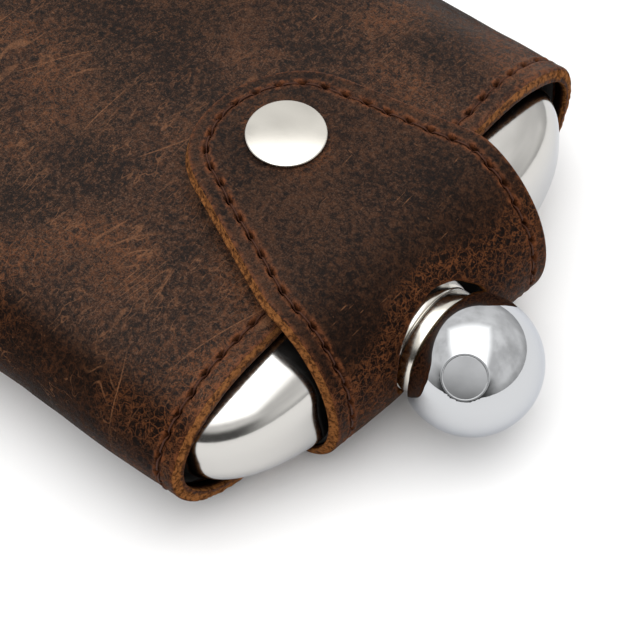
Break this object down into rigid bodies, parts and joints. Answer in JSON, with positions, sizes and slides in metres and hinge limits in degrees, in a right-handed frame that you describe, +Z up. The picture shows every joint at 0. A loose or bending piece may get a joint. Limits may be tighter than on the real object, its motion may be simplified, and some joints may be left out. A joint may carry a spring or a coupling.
{
  "type": "hip flask",
  "caption": "Stainless hip flask in a dark distressed leather sleeve; a snap-down strap flap passes over its neck, and a ball cap screws on.",
  "frame": {"origin": "middle of the footprint's box, on the surface that the sleeve's back lies on", "axes": "+X along the flask towards the cap, +Y across it, +Z up through the sleeve's front face"},
  "size_m": [0.1414, 0.1026, 0.0395],
  "materials": {
    "leather": "distressed pull-up leather, waxed",
    "lining": "thin black lining leather, matt",
    "thread": "waxed stitching thread",
    "steel": "mirror-polished stainless steel",
    "chrome": "bright chrome",
    "nickel": "polished nickel",
    "gilt": "polished brass",
    "rubber": "matt black seal"
  },
  "bodies": {
    "sleeve_and_flask": {"sleeve_wrap": "leather", "sleeve_lining": "lining", "sleeve_base": "leather", "mouth_stitching": "thread", "base_stitching": "thread", "snap_stud": "nickel", "snap_post": "nickel", "flap_fold": "leather", "flap_fold_lining": "lining", "fold_stitching_left": "thread", "fold_stitching_right": "thread", "flask_shell": "steel", "flask_base": "steel", "neck_collar": "steel", "neck_spout": "steel"},
    "flap": {"flap_tongue": "leather", "flap_tongue_lining": "lining", "tongue_stitching": "thread", "snap_cap": "nickel", "snap_socket": "nickel"},
    "seal": {"cap_seal": "rubber"},
    "cap": {"cap_ball": "chrome", "cap_disc": "chrome", "cap_insert": "steel", "cap_seat_ring": "gilt"}
  },
  "joints": [
    {"name": "flap_lift", "type": "hinge", "parent": "sleeve_and_flask", "child": "flap", "pos_m": [0.0392, -0.0018, 0.041], "axis": [0.1132, 0.9936, 0], "range_deg": [0, 120]},
    {"name": "cap_rise", "type": "slide", "parent": "sleeve_and_flask", "child": "seal", "axis": [1, 0, 0], "range_m": [0, 0.006]},
    {"name": "cap_twist", "type": "hinge", "parent": "seal", "child": "cap", "pos_m": [0.0601, -0.0035, 0.0163], "axis": [1, 0, 0], "range_deg": [0, 1440]}
  ],
  "couplings": [
    {"joint": "cap_twist", "follows": "cap_rise", "rad_per_m": 4188}
  ]
}
